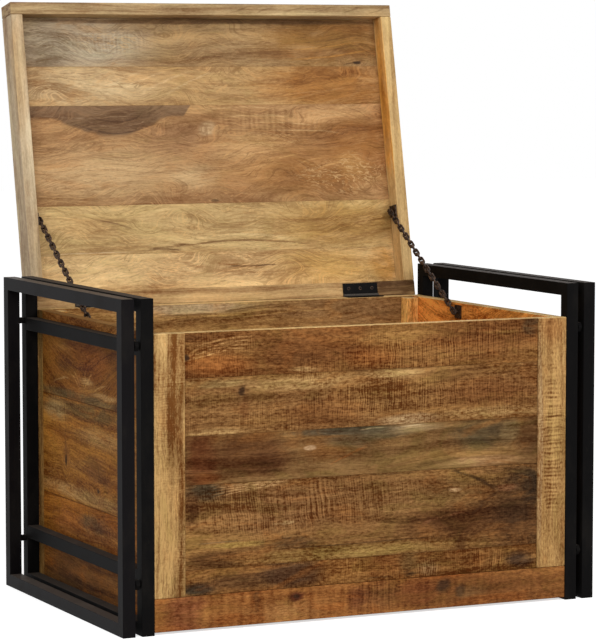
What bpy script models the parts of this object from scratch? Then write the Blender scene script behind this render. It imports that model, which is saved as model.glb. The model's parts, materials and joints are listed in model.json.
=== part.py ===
"""Storage chest: a plank box and lid carried between two pairs of square-tube steel frames.

Metres, +Z up, front towards -Y. The lid stands open, leaning back on its two stay chains.
"""
import math

import bmesh
import bpy
from mathutils import Matrix, Vector

# Fit between pieces that touch
CLEARANCE = 0.0003

# Steel end frames
WIDTH = 0.800
FRAME_DEPTH = 0.505
FRAME_HEIGHT = 0.500
TUBE = 0.020
TUBE_WALL = 0.0015
TUBE_CORNER = 0.0015
FRAME_GAP = 0.0105
HAND_GAP = 0.045
LOWER_CROSSBAR_HEIGHT = 0.088
LOWER_SPACER_HEIGHT = 0.077
UPPER_SPACER_DROP = 0.070
SPACER_RADIUS = 0.005
NUT_RADIUS = 0.0085
NUT_THICKNESS = 0.006

# Wooden box
BOX_SETBACK = 0.001
BOX_LIFT = 0.004
BOX_DROP = 0.053
WALL = 0.020
STILE_WIDTH = 0.050
BOTTOM_RAIL_HEIGHT = 0.050
PANEL_RECESS = 0.0025
POST_SIZE = 0.022
POST_DROP = 0.002
BOTTOM_RAISE = 0.010
BOTTOM_THICKNESS = 0.012
BOARD_EDGE = 0.0008

# Lid
LID_SIDE_GAP = 0.0018
LID_DEPTH = 0.505
LID_OVERHANG = 0.005
LID_HEIGHT = 0.044
LID_RIM = 0.020
LID_PANEL = 0.016
LID_OPEN_DEGREES = 101.4

# Butt hinges
LEAF_LENGTH = 0.065
LEAF_WIDTH = 0.018
LEAF_THICKNESS = 0.0012
WEB_HEM = 0.0002
KNUCKLE_RADIUS = 0.003
PIN_RADIUS = 0.0015
PIN_PLAY = 0.0002
HINGE_INSET = 0.105

# Stay chains
CHAIN_LID_REACH = 0.142
CHAIN_BOX_REACH = 0.1855
CHAIN_PLAY = 0.0004
LINK_PITCH = 0.0114
LINK_WIRE = 0.002
LINK_SIDE_PLAY = 0.0005
LINK_BITE = 0.0006
PLATE_WIDTH = 0.020
PLATE_THICKNESS = 0.002
PLATE_MARGIN = 0.003
BOX_PLATE_DROP = 0.004
STUD_RADIUS = 0.002
STUD_HEAD_RADIUS = 0.004
STUD_HEAD_THICKNESS = 0.002
STUD_PLAY = 0.0003

# Facets round a turned piece, a nut, a chain link and a tube's corner
ROUND_SIDES = 24
NUT_SIDES = 6
LINK_SIDES = 10
WIRE_SIDES = 6
CORNER_STEPS = 3
SHARP_ANGLE = math.radians(50)

# Places worked out from the sizes above
OUTER_FRAME_X = WIDTH / 2 - TUBE / 2
INNER_FRAME_X = OUTER_FRAME_X - TUBE - FRAME_GAP
INNER_PLANE_X = INNER_FRAME_X - TUBE / 2
UPPER_CROSSBAR_HEIGHT = FRAME_HEIGHT - TUBE - HAND_GAP - TUBE / 2
UPPER_SPACER_HEIGHT = FRAME_HEIGHT - UPPER_SPACER_DROP
BOX_TOP = FRAME_HEIGHT - BOX_DROP
BOX_HALF_WIDTH = INNER_PLANE_X - CLEARANCE
BOX_FRONT = -FRAME_DEPTH / 2 + BOX_SETBACK
BOX_BACK = FRAME_DEPTH / 2 - BOX_SETBACK
WALL_INNER_X = BOX_HALF_WIDTH - WALL
BOTTOM_TOP = BOX_LIFT + BOTTOM_RAISE + BOTTOM_THICKNESS
LID_GAP = 2 * LEAF_THICKNESS + 3 * CLEARANCE
LID_UNDERSIDE = BOX_TOP + LID_GAP
LID_TOP = LID_UNDERSIDE + LID_HEIGHT
LID_HALF_WIDTH = INNER_PLANE_X - LID_SIDE_GAP
LID_BACK = BOX_BACK + LID_OVERHANG
LID_FRONT = LID_BACK - LID_DEPTH
RIM_INNER_X = LID_HALF_WIDTH - LID_RIM
HINGE_X = LID_HALF_WIDTH - HINGE_INSET
HINGE_AXIS = Vector((0, BOX_BACK + KNUCKLE_RADIUS + CLEARANCE, BOX_TOP + LID_GAP / 2))
LID_OPEN = math.radians(LID_OPEN_DEGREES)
LID_TURN = Matrix.Rotation(-LID_OPEN, 3, "X")
LID_RECESS = LID_HEIGHT - LID_PANEL
PLATE_HEIGHT = LID_RECESS - 2 * PLATE_MARGIN
LINK_WIDTH = 2 * (STUD_RADIUS + LINK_SIDE_PLAY + LINK_WIRE)
BOX_PLATE_X = WALL_INNER_X - CLEARANCE
LID_PLATE_X = RIM_INNER_X - CLEARANCE
CHAIN_X = min(BOX_PLATE_X, LID_PLATE_X) - PLATE_THICKNESS - CHAIN_PLAY - LINK_WIDTH / 2
BOX_STUD = Vector((0, BOX_BACK - CHAIN_BOX_REACH, BOX_TOP - BOX_PLATE_DROP - PLATE_HEIGHT / 2))
LID_STUD = Vector((0, BOX_BACK - CHAIN_LID_REACH, LID_UNDERSIDE + LID_RECESS / 2))
SIDES = (("left", -1), ("right", 1))


def opened(point):
    """Where a point of the shut lid lies once the lid stands open."""
    return HINGE_AXIS + LID_TURN @ (point - HINGE_AXIS)


# The origin stands on the floor in the middle of the whole chest, the open lid's overhang included
LID_REACH = opened(Vector((0, LID_FRONT, LID_TOP))).y
ORIGIN_SHIFT = -(LID_REACH - FRAME_DEPTH / 2) / 2


def finish(name, colour, roughness, metallic=0.0):
    material = bpy.data.materials.new(name)
    material.use_nodes = True
    shader = material.node_tree.nodes["Principled BSDF"]
    shader.inputs["Base Color"].default_value = (*colour, 1.0)
    shader.inputs["Roughness"].default_value = roughness
    shader.inputs["Metallic"].default_value = metallic
    return material


def new_collection(name):
    collection = bpy.data.collections.new(name)
    bpy.context.scene.collection.children.link(collection)
    return collection


def new_empty(name, location, parent=None, rotation_x=0.0):
    empty = bpy.data.objects.new(name, None)
    parts.objects.link(empty)
    empty.parent = parent
    empty.location = location
    empty.rotation_euler = (rotation_x, 0, 0)
    return empty


def mesh_from(name, bm):
    mesh = bpy.data.meshes.new(name)
    bm.to_mesh(mesh)
    bm.free()
    return mesh


def smooth(mesh):
    """Smooth the round faces and keep the corners sharp."""
    mesh.shade_smooth()
    mesh.set_sharp_from_angle(angle=SHARP_ANGLE)
    return mesh


def box_mesh(name, size):
    bm = bmesh.new()
    bmesh.ops.create_cube(bm, size=1.0)
    bmesh.ops.scale(bm, vec=size, verts=bm.verts)
    return mesh_from(name, bm)


def rod_mesh(name, radius, length, sides=ROUND_SIDES):
    """A rod along X, centred: round, or a prism of few sides."""
    bm = bmesh.new()
    bmesh.ops.create_cone(
        bm, cap_ends=True, segments=sides, radius1=radius, radius2=radius, depth=length,
        matrix=Matrix.Rotation(math.pi / 2, 4, "Y"))
    return smooth(mesh_from(name, bm))


def add_part(name, mesh, material, parent, location=(0, 0, 0)):
    obj = bpy.data.objects.new(name, mesh)
    if not mesh.materials:
        mesh.materials.append(material)
    parts.objects.link(obj)
    obj.parent = parent
    obj.location = location
    return obj


def add_cutter(name, mesh, location=(0, 0, 0)):
    obj = bpy.data.objects.new(name, mesh)
    cutters.objects.link(obj)
    obj.location = location
    obj.hide_render = True
    obj.display_type = "WIRE"
    return obj


def baked(obj):
    """The mesh an object shows with its modifiers applied."""
    bpy.context.view_layer.update()
    return bpy.data.meshes.new_from_object(obj.evaluated_get(bpy.context.evaluated_depsgraph_get()))


def fused(name, pieces, cuts=()):
    """One closed mesh from overlapping helper pieces, less the cuts."""
    base = pieces[0]
    steps = [("UNION", piece) for piece in pieces[1:]] + [("DIFFERENCE", cut) for cut in cuts]
    for operation, helper in steps:
        join = base.modifiers.new(operation.lower(), "BOOLEAN")
        join.operation = operation
        join.solver = "EXACT"
        join.object = helper
    mesh = baked(base)
    mesh.transform(base.matrix_world)
    mesh.name = name
    for helper in [*pieces, *cuts]:
        bpy.data.objects.remove(helper)
    return smooth(mesh)


def add_board(name, low, high, material, parent):
    """A board between two corners, with its edges eased."""
    low, high = Vector(low), Vector(high)
    board = add_part(name, box_mesh(name, high - low), material, parent, (low + high) / 2)
    ease = board.modifiers.new("eased edges", "BEVEL")
    ease.width = BOARD_EDGE
    ease.segments = 1
    return board


def tube_mesh(name, length, mitred):
    """A square tube along Z. A mitred one is full length on its +X side, the frame's outside."""
    bm = bmesh.new()
    bmesh.ops.create_cube(bm, size=1.0)
    bmesh.ops.scale(bm, vec=(TUBE, TUBE, length), verts=bm.verts)
    ends = [face for face in bm.faces if abs(face.normal.z) > 0.5]
    bmesh.ops.inset_region(bm, faces=ends, thickness=TUBE_WALL)
    rims = [edge for face in ends for edge in face.edges]
    bmesh.ops.delete(bm, geom=ends, context="FACES_ONLY")
    bmesh.ops.bridge_loops(bm, edges=rims)
    if mitred:
        for vert in bm.verts:
            cut = TUBE / 2 - vert.co.x + CLEARANCE / math.sqrt(2)
            vert.co.z -= math.copysign(cut, vert.co.z)
    bmesh.ops.recalc_face_normals(bm, faces=bm.faces)
    weight = bm.edges.layers.float.new("bevel_weight_edge")
    for edge in bm.edges:
        first, second = (vert.co.xy for vert in edge.verts)
        edge[weight] = float(first == second and abs(first.x) > TUBE / 2 - TUBE_WALL / 2)
    return mesh_from(name, bm)


def add_tube(name, centre, outside, along, length, mitred=True):
    tube = add_part(name, tube_mesh(name, length, mitred), steel, chest, centre)
    outside, along = Vector(outside), Vector(along)
    turn = Matrix((outside, along.cross(outside), along)).transposed()
    tube.rotation_euler = turn.to_euler()
    corners = tube.modifiers.new("rounded corners", "BEVEL")
    corners.limit_method = "WEIGHT"
    corners.width = TUBE_CORNER
    corners.segments = CORNER_STEPS
    return tube


def add_frame(name, x):
    """A rectangle of four mitred tubes standing across the chest's end."""
    post_y = FRAME_DEPTH / 2 - TUBE / 2
    rail_z = FRAME_HEIGHT / 2 - TUBE / 2
    middle = FRAME_HEIGHT / 2
    add_tube(name + "_front_post", (x, -post_y, middle), (0, -1, 0), (0, 0, 1), FRAME_HEIGHT)
    add_tube(name + "_rear_post", (x, post_y, middle), (0, 1, 0), (0, 0, 1), FRAME_HEIGHT)
    add_tube(name + "_bottom_rail", (x, 0, middle - rail_z), (0, 0, -1), (0, 1, 0), FRAME_DEPTH)
    add_tube(name + "_top_rail", (x, 0, middle + rail_z), (0, 0, 1), (0, 1, 0), FRAME_DEPTH)


def turned_mesh(name, profile):
    """A piece turned about X from (radius, x) points, listed from its far end back."""
    bm = bmesh.new()
    verts = [bm.verts.new((radius, 0, x)) for radius, x in profile]
    for first, second in zip(verts, verts[1:]):
        bm.edges.new((first, second))
    helper = add_cutter(name, mesh_from(name, bm))
    screw = helper.modifiers.new("turn", "SCREW")
    screw.axis = "Z"
    screw.steps = ROUND_SIDES
    screw.render_steps = ROUND_SIDES
    screw.use_merge_vertices = True
    screw.merge_threshold = 0.00001
    mesh = baked(helper)
    mesh.transform(Matrix.Rotation(math.pi / 2, 4, "Y"))
    bpy.data.objects.remove(helper)
    return smooth(mesh)


def spacer_mesh(name, with_nut):
    """A sleeve across the gap between two frames, the front ones with a locking nut at mid length."""
    sleeve = rod_mesh(name, SPACER_RADIUS, FRAME_GAP - 2 * CLEARANCE)
    if not with_nut:
        return sleeve
    nut = rod_mesh("nut", NUT_RADIUS, NUT_THICKNESS, NUT_SIDES)
    return fused(name, [add_cutter(name, sleeve), add_cutter("nut", nut)])


def add_end_frames(side, sign):
    add_frame("outer_frame_" + side, sign * OUTER_FRAME_X)
    inner = "inner_frame_" + side
    add_frame(inner, sign * INNER_FRAME_X)
    bar_length = FRAME_DEPTH - 2 * (TUBE + CLEARANCE)
    for level, height in (("lower", LOWER_CROSSBAR_HEIGHT), ("upper", UPPER_CROSSBAR_HEIGHT)):
        bar = f"{inner}_{level}_crossbar"
        add_tube(bar, (sign * INNER_FRAME_X, 0, height), (0, 0, 1), (0, 1, 0), bar_length, mitred=False)
    spacer_x = sign * (OUTER_FRAME_X + INNER_FRAME_X) / 2
    spacer_y = FRAME_DEPTH / 2 - TUBE / 2
    for end, y, with_nut in (("front", -spacer_y, True), ("rear", spacer_y, False)):
        for level, height in (("lower", LOWER_SPACER_HEIGHT), ("upper", UPPER_SPACER_HEIGHT)):
            name = f"frame_spacer_{side}_{end}_{level}"
            add_part(name, spacer_mesh(name, with_nut), steel, chest, (spacer_x, y, height))


def add_box():
    """Front frame and panel, back, ends, bottom and corner posts."""
    front_inner, back_inner = BOX_FRONT + WALL, BOX_BACK - WALL
    rail_top = BOX_LIFT + BOTTOM_RAIL_HEIGHT
    stile_inner_x = BOX_HALF_WIDTH - STILE_WIDTH
    panel_x = stile_inner_x - CLEARANCE
    add_board("front_bottom_rail", (-BOX_HALF_WIDTH, BOX_FRONT, BOX_LIFT),
              (BOX_HALF_WIDTH, front_inner, rail_top), rail_wood, chest)
    add_board("front_panel", (-panel_x, BOX_FRONT + PANEL_RECESS, rail_top + CLEARANCE),
              (panel_x, front_inner, BOX_TOP), plank_wood, chest)
    add_board("back_panel", (-BOX_HALF_WIDTH, back_inner, BOX_LIFT),
              (BOX_HALF_WIDTH, BOX_BACK, BOX_TOP), plank_wood, chest)
    bottom_x = WALL_INNER_X - CLEARANCE
    add_board("bottom_panel", (-bottom_x, front_inner + CLEARANCE, BOX_LIFT + BOTTOM_RAISE),
              (bottom_x, back_inner - CLEARANCE, BOTTOM_TOP), plank_wood, chest)
    post_inner_x = bottom_x - POST_SIZE
    post_base, post_top = BOTTOM_TOP + CLEARANCE, BOX_TOP - POST_DROP
    for side, sign in SIDES:
        stile_x = sorted((sign * stile_inner_x, sign * BOX_HALF_WIDTH))
        add_board("front_stile_" + side, (stile_x[0], BOX_FRONT, rail_top + CLEARANCE),
                  (stile_x[1], front_inner, BOX_TOP), stile_wood, chest)
        end_x = sorted((sign * WALL_INNER_X, sign * BOX_HALF_WIDTH))
        add_board(side + "_end_panel", (end_x[0], front_inner + CLEARANCE, BOX_LIFT),
                  (end_x[1], back_inner - CLEARANCE, BOX_TOP), plank_wood, chest)
        post_x = sorted((sign * post_inner_x, sign * bottom_x))
        front_y = front_inner + CLEARANCE
        rear_y = back_inner - CLEARANCE - POST_SIZE
        for end, y in (("front", front_y), ("rear", rear_y)):
            add_board(f"corner_post_{end}_{side}", (post_x[0], y, post_base),
                      (post_x[1], y + POST_SIZE, post_top), stile_wood, chest)


def notch(back_rim, pivot):
    """Cut room for the hinge knuckles into the edge of the lid's back rim."""
    room = 2 * (KNUCKLE_RADIUS + CLEARANCE)
    cuts = []
    for side, sign in SIDES:
        block = box_mesh("knuckle room", (LEAF_LENGTH + 2 * CLEARANCE, room, room))
        cut = add_cutter("knuckle room", block, (sign * HINGE_X, 0, 0))
        cut.parent = pivot
        difference = back_rim.modifiers.new("knuckle room", "BOOLEAN")
        difference.operation = "DIFFERENCE"
        difference.solver = "EXACT"
        difference.object = cut
        cuts.append(cut)
    mesh = baked(back_rim)
    back_rim.modifiers.clear()
    back_rim.data = mesh
    for cut in cuts:
        bpy.data.objects.remove(cut)


def add_lid(pivot):
    """Rim boards round a panel, laid out shut and carried by the hinge pivot."""
    def lid_board(name, low, high, material):
        return add_board(name, Vector(low) - HINGE_AXIS, Vector(high) - HINGE_AXIS, material, pivot)

    front_inner, back_inner = LID_FRONT + LID_RIM, BOX_BACK - LID_RIM
    lid_board("lid_front_rim", (-LID_HALF_WIDTH, LID_FRONT, LID_UNDERSIDE),
              (LID_HALF_WIDTH, front_inner, LID_TOP), stile_wood)
    back_rim = lid_board("lid_back_rim", (-LID_HALF_WIDTH, back_inner, LID_UNDERSIDE),
                         (LID_HALF_WIDTH, LID_BACK, LID_TOP), stile_wood)
    notch(back_rim, pivot)
    for side, sign in SIDES:
        rim_x = sorted((sign * RIM_INNER_X, sign * LID_HALF_WIDTH))
        lid_board(f"lid_{side}_rim", (rim_x[0], front_inner + CLEARANCE, LID_UNDERSIDE),
                  (rim_x[1], back_inner - CLEARANCE, LID_TOP), stile_wood)
    panel_x = RIM_INNER_X - CLEARANCE
    lid_board("lid_panel", (-panel_x, front_inner + CLEARANCE, LID_TOP - LID_PANEL),
              (panel_x, back_inner - CLEARANCE, LID_TOP), lid_wood)


def leaf_mesh(name, level, knuckles):
    """A hinge leaf about the pin axis: level is -1 for the box's leaf, 1 for the lid's."""
    edge_y = -(KNUCKLE_RADIUS + CLEARANCE)
    middle_z = level * (LEAF_THICKNESS + CLEARANCE) / 2
    plate = box_mesh(name, (LEAF_LENGTH, LEAF_WIDTH, LEAF_THICKNESS))
    pieces = [add_cutter(name, plate, (0, edge_y - LEAF_WIDTH / 2, middle_z))]
    for start, stop in knuckles:
        length = stop - start
        middle_x = (start + stop) / 2
        web = box_mesh("web", (length - 2 * WEB_HEM, KNUCKLE_RADIUS * 2, LEAF_THICKNESS - 2 * WEB_HEM))
        pieces.append(add_cutter("web", web, (middle_x, edge_y, middle_z)))
        barrel = rod_mesh("barrel", KNUCKLE_RADIUS, length)
        pieces.append(add_cutter("barrel", barrel, (middle_x, 0, 0)))
    bore = add_cutter("bore", rod_mesh("bore", PIN_RADIUS + PIN_PLAY, 2 * LEAF_LENGTH))
    return fused(name, pieces, [bore])


def add_hinges(pivot):
    end, split, play = LEAF_LENGTH / 2, LEAF_LENGTH / 6, CLEARANCE / 2
    outer = [(-end, -split - play), (split + play, end)]
    inner = [(-split + play, split - play)]
    box_leaf = leaf_mesh("box leaf", -1, outer)
    lid_leaf = leaf_mesh("lid leaf", 1, inner)
    pin = rod_mesh("pin", PIN_RADIUS, LEAF_LENGTH)
    for side, sign in SIDES:
        x = sign * HINGE_X
        at_axis = HINGE_AXIS + Vector((x, 0, 0))
        add_part(f"hinge_{side}_box_leaf", box_leaf, steel, chest, at_axis)
        add_part(f"hinge_{side}_pin", pin, steel, chest, at_axis)
        add_part(f"hinge_{side}_lid_leaf", lid_leaf, steel, pivot, (x, 0, 0))


def link_mesh(pitch, flat):
    """One oval chain link along Y. A flat one lies across X, the stud's axis."""
    bend = (LINK_WIDTH - LINK_WIRE) / 2
    bpy.ops.mesh.primitive_torus_add(
        major_radius=bend / math.cos(math.pi / LINK_SIDES), minor_radius=LINK_WIRE / 2,
        major_segments=LINK_SIDES, minor_segments=WIRE_SIDES)
    helper = bpy.context.object
    mesh = helper.data.copy()
    bpy.data.objects.remove(helper)
    mesh.transform(Matrix.Rotation(math.pi / LINK_SIDES, 4, "Z"))
    stretch = (pitch - LINK_BITE + LINK_WIRE) / 2 - bend
    for vert in mesh.vertices:
        vert.co.y += math.copysign(stretch, vert.co.y)
    if flat:
        mesh.transform(Matrix.Rotation(math.pi / 2, 4, "Y"))
    return mesh


def chain_half_mesh(pitch, count, seat):
    """Links along Y from the stud's axis, each turned a quarter from the last and fused to it."""
    pieces = []
    for index in range(count):
        y = pitch * (index + 0.5) - seat
        pieces.append(add_cutter("link", link_mesh(pitch, index % 2 == 0), (0, y, 0)))
    return fused("chain half", pieces)


def stud_plate_mesh(name, plane):
    """A plate flat on wood at X 0 with a headed stud whose chain runs in the plane at X."""
    plate = box_mesh(name, (PLATE_THICKNESS, PLATE_WIDTH, PLATE_HEIGHT))
    head = plane + LINK_WIRE / 2 + STUD_PLAY
    end = head + STUD_HEAD_THICKNESS
    root = PLATE_THICKNESS / 2
    profile = [(0, end), (STUD_HEAD_RADIUS, end), (STUD_HEAD_RADIUS, head), (STUD_RADIUS, head),
               (STUD_RADIUS, root), (0, root)]
    pieces = [add_cutter(name, plate, (PLATE_THICKNESS / 2, 0, 0)),
              add_cutter("stud", turned_mesh("stud", profile))]
    return fused(name, pieces)


def add_chains(pivot):
    lid_stud = opened(LID_STUD)
    run = lid_stud - BOX_STUD
    seat = STUD_RADIUS + STUD_PLAY + LINK_BITE / 2
    count = round((run.length / LINK_PITCH - 1) / 2)
    pitch = (run.length + 2 * seat) / (2 * count + 1)
    slope = math.atan2(run.z, run.y)
    half = chain_half_mesh(pitch, count, seat)
    box_plate = stud_plate_mesh("box plate", BOX_PLATE_X - CHAIN_X)
    lid_plate = stud_plate_mesh("lid plate", LID_PLATE_X - CHAIN_X)
    for side, sign in SIDES:
        across = Vector((sign * CHAIN_X, 0, 0))
        facing = math.pi if sign > 0 else 0.0
        lower = add_part(f"chain_{side}_lower", half, bronze, chest, BOX_STUD + across)
        lower.rotation_euler = (slope, 0, 0)
        upper = add_part(f"chain_{side}_upper", half, bronze, chest, lid_stud + across)
        upper.rotation_euler = (slope + math.pi, 0, 0)
        at_box = BOX_STUD + Vector((sign * BOX_PLATE_X, 0, 0))
        at_lid = LID_STUD + Vector((sign * LID_PLATE_X, 0, 0)) - HINGE_AXIS
        for name, mesh, place, parent in (
                (f"chain_{side}_box_plate", box_plate, at_box, chest),
                (f"chain_{side}_lid_plate", lid_plate, at_lid, pivot)):
            plate = add_part(name, mesh, bronze, parent, place)
            plate.rotation_euler = (0, 0, facing)


for leftover in list(bpy.data.objects):
    bpy.data.objects.remove(leftover)

parts = new_collection("storage_chest")
cutters = new_collection("cutters")
steel = finish("black powder coat", (0.012, 0.012, 0.013), 0.45, 0.6)
bronze = finish("dark bronze", (0.045, 0.030, 0.022), 0.50, 0.9)
stile_wood = finish("golden mango wood", (0.48, 0.30, 0.13), 0.60)
plank_wood = finish("brown mango wood", (0.22, 0.11, 0.045), 0.60)
rail_wood = finish("reddish mango wood", (0.30, 0.13, 0.05), 0.60)
lid_wood = finish("tan mango wood", (0.40, 0.24, 0.11), 0.55)

chest = new_empty("chest_origin", (0, ORIGIN_SHIFT, 0))
lid_pivot = new_empty("lid_pivot", HINGE_AXIS, chest, -LID_OPEN)
for side_name, side_sign in SIDES:
    add_end_frames(side_name, side_sign)
add_box()
add_lid(lid_pivot)
add_hinges(lid_pivot)
add_chains(lid_pivot)
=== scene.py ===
"""Looks of the plank storage chest: sawn boards, black steel end frames, hinges and stay chains."""

import json
import math

import bmesh
import bpy
from mathutils import Matrix, Vector


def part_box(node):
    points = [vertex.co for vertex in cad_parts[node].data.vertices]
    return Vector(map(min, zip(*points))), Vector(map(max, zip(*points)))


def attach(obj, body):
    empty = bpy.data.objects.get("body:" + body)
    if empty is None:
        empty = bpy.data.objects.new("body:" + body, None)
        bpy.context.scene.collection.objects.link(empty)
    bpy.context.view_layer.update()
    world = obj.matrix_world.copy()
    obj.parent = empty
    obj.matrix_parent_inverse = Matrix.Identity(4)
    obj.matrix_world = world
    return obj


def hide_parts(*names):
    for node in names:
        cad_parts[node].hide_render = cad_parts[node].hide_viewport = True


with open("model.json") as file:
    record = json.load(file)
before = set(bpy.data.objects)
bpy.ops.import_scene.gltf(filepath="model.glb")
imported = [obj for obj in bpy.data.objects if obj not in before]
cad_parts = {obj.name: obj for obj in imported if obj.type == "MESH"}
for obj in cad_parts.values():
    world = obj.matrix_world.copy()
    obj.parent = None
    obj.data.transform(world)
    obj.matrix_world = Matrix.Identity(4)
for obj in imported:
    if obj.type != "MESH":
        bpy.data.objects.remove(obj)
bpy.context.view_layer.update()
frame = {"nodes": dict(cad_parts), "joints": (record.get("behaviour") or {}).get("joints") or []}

MM = 0.001
SIDES = ("left", "right")
JOINTS = {joint["name"]: joint for joint in frame["joints"]}
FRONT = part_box("outer_frame_left_front_post")[0].y
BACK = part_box("outer_frame_left_rear_post")[1].y
MIDDLE = (FRONT + BACK) / 2
BOX_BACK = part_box("back_panel")[1].y
HINGE = Vector(JOINTS["lid_hinge"]["pos_m"])
LID_TURN = math.radians(JOINTS["lid_hinge"]["range_deg"][0])
SHUT_TO_OPEN = Matrix.Translation(HINGE) @ Matrix.Rotation(LID_TURN, 4, "X") @ Matrix.Translation(-HINGE)


def span(points):
    """Lowest and highest corner of some points."""
    return [Vector(pick(point[i] for point in points) for i in range(3)) for pick in (min, max)]


def shut_box(node):
    """Corners of a lid node as it lies with the lid shut."""
    return span([SHUT_TO_OPEN.inverted() @ vert.co for vert in frame["nodes"][node].data.vertices])


def axes(grain):
    """Numbers of the axes along the grain, across it and through the board."""
    along, across = ("xyz".index(letter) for letter in grain)
    return along, across, 3 - along - across


# Shader sums and nodes


class Value:
    """A node's output that can stand in a sum."""

    def __init__(self, nodes, socket):
        self.nodes = nodes
        self.socket = socket

    def __add__(self, other):
        return self.nodes.sum("ADD", self, other)

    def __sub__(self, other):
        return self.nodes.sum("SUBTRACT", self, other)

    def __rsub__(self, other):
        return self.nodes.sum("SUBTRACT", other, self)

    def __mul__(self, other):
        return self.nodes.sum("MULTIPLY", self, other)

    def __abs__(self):
        return self.nodes.sum("ABSOLUTE", self)

    __radd__ = __add__
    __rmul__ = __mul__


class Nodes:
    """The nodes of a finish or of the studio."""

    def __init__(self, tree):
        self.tree = tree

    def put(self, socket, value):
        if isinstance(value, Value):
            self.tree.links.new(value.socket, socket)
        elif socket.type == "RGBA":
            socket.default_value = (*value, 1.0)
        else:
            socket.default_value = value

    def node(self, kind, settings, values, output=0):
        """Any node: its settings first, then the values or links of its sockets."""
        node = self.tree.nodes.new("ShaderNode" + kind)
        for name, value in settings.items():
            setattr(node, name, value)
        for name, value in values.items():
            self.put(node.inputs[name], value)
        return Value(self, node.outputs[output])

    def sum(self, operation, first, second=0.0):
        return self.node("Math", {"operation": operation}, {0: first, 1: second})

    def vector(self, operation, first, second):
        return self.node("VectorMath", {"operation": operation}, {0: first, 1: second})

    def length(self, place):
        return self.node("VectorMath", {"operation": "LENGTH"}, {0: place}, "Value")

    def place(self):
        return self.node("TexCoord", {}, {}, "Object")

    def upward(self):
        """How far a face looks up, from -1 to 1."""
        return self.parts(self.node("TexCoord", {}, {}, "Normal"))[2]

    def parts(self, place):
        return [self.node("SeparateXYZ", {}, {0: place}, i) for i in range(3)]

    def join(self, x, y, z):
        return self.node("CombineXYZ", {}, {0: x, 1: y, 2: z})

    def noise(self, place, scale, detail=2.0, rough=0.5, swirl=0.0):
        """Noise with about so many features in a metre along each axis."""
        values = {"Vector": self.vector("MULTIPLY", place, scale), "Scale": 1.0, "Detail": detail,
                  "Roughness": rough, "Distortion": swirl}
        return self.node("TexNoise", {}, values)

    def step(self, value, start, stop, high=1.0, low=0.0):
        """A soft step from low at start to high at stop."""
        return self.node("MapRange", {"interpolation_type": "SMOOTHSTEP"},
                         {"Value": value, 1: start, 2: stop, 3: low, 4: high})

    def mix(self, share, first, second):
        return self.node("Mix", {"data_type": "RGBA"}, {0: share, 6: first, 7: second}, 2)

    def dye(self, first, second):
        """One colour times another."""
        return self.vector("MULTIPLY", first, second)

    def bump(self, height, depth, strength):
        return self.node("Bump", {}, {"Strength": strength, "Distance": depth, "Height": height})

    def seen(self):
        """1 for what the camera sees, straight or in gloss or glass, and 0 for light on other things."""
        kinds = ("Camera", "Glossy", "Transmission")
        rays = [self.node("LightPath", {}, {}, f"Is {kind} Ray") for kind in kinds]
        return self.sum("MAXIMUM", self.sum("MAXIMUM", rays[0], rays[1]), rays[2])


class Finish(Nodes):
    """A material and the nodes that make it."""

    def __init__(self, name):
        self.material = bpy.data.materials.new(name)
        self.material.use_nodes = True
        super().__init__(self.material.node_tree)
        self.shader = self.tree.nodes["Principled BSDF"]

    def surface(self, **values):
        for name, value in values.items():
            self.put(self.shader.inputs[name.replace("_", " ")], value)
        return self.material


def srgb(red, green, blue):
    """A colour given in display values, as the linear one that a shader takes."""
    def linear(part):
        part = part / 255
        return part / 12.92 if part <= 0.04045 else ((part + 0.055) / 1.055) ** 2.4
    return linear(red), linear(green), linear(blue)


# Wood

CREAM = (192, 158, 112)
STRAW = (176, 136, 84)
HONEY = (150, 106, 56)
AMBER = (150, 100, 52)
RUST = (146, 84, 38)
CHESTNUT = (110, 66, 33)
WALNUT = (88, 54, 28)
SOOT = (58, 38, 23)
ASH = (104, 92, 72)
SLATE = (76, 60, 40)
KNOT = (54, 36, 24)
PALE_SCRATCH = (178, 150, 112)
PALE_FLECK = (212, 170, 116)
# Colour of faces that look up: planed wood with painted light from above
PLANED_LIT_TOP = (212, 176, 118)

# Shades that a board's own colour is multiplied by
OLIVE_CAST = (0.80, 0.86, 0.74)
RED_CAST = (1.06, 0.92, 0.82)
# Multiplies the painted-light colour of a face inside the box, in its warmer patches
LIT_INSIDE_SHADE = (0.78, 0.70, 0.67)
DARK_GRAIN = (0.36, 0.22, 0.11)
PALE_GRAIN = (1.62, 1.80, 1.98)
DARK_LINE = (0.36, 0.28, 0.22)
OPEN_PORE = (0.32, 0.25, 0.20)
PALE_CURL = (1.42, 1.42, 1.42)
DARK_CURL = (0.55, 0.48, 0.42)
SCUFFED = (1.75, 1.75, 1.75)
# Dark seam colour: glue in the joints and painted shade in the grooves
SEAM_GLUE_AND_SHADE = (0.24, 0.18, 0.14)
DARK_TOP = (0.60, 0.56, 0.52)
PALE_TOP = (1.40, 1.42, 1.44)

# Features in a metre along the grain, across it and through the board
BAND_LENGTHWISE = 1.7
BAND_DEEP = 40.0
WANDER = (2.6, 8.0, 8.0)
FIBRES = (30.0, 360.0, 200.0)
FLECKS = (150.0, 330.0, 200.0)
CLOUDS = (7.0, 19.0, 19.0)
SMEARS = (9.0, 23.0, 16.0)
PORES = (60.0, 1100.0, 700.0)
LINES = (2.2, 46.0, 30.0)
WARM_PATCHES = (5.0, 26.0, 15.0)
SAWN_PATCHES = (10.0, 18.0, 20.0)
SAW_WOBBLE = (24.0, 30.0, 20.0)
SAW_MARKS = 260.0
EDDIES = (8.0, 13.0, 13.0)
CURLS = (10.0, 120.0, 60.0)
SCUFFS = (90.0, 380.0, 300.0)
PALE_TICKS = (75.0, 300.0, 200.0)

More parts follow.
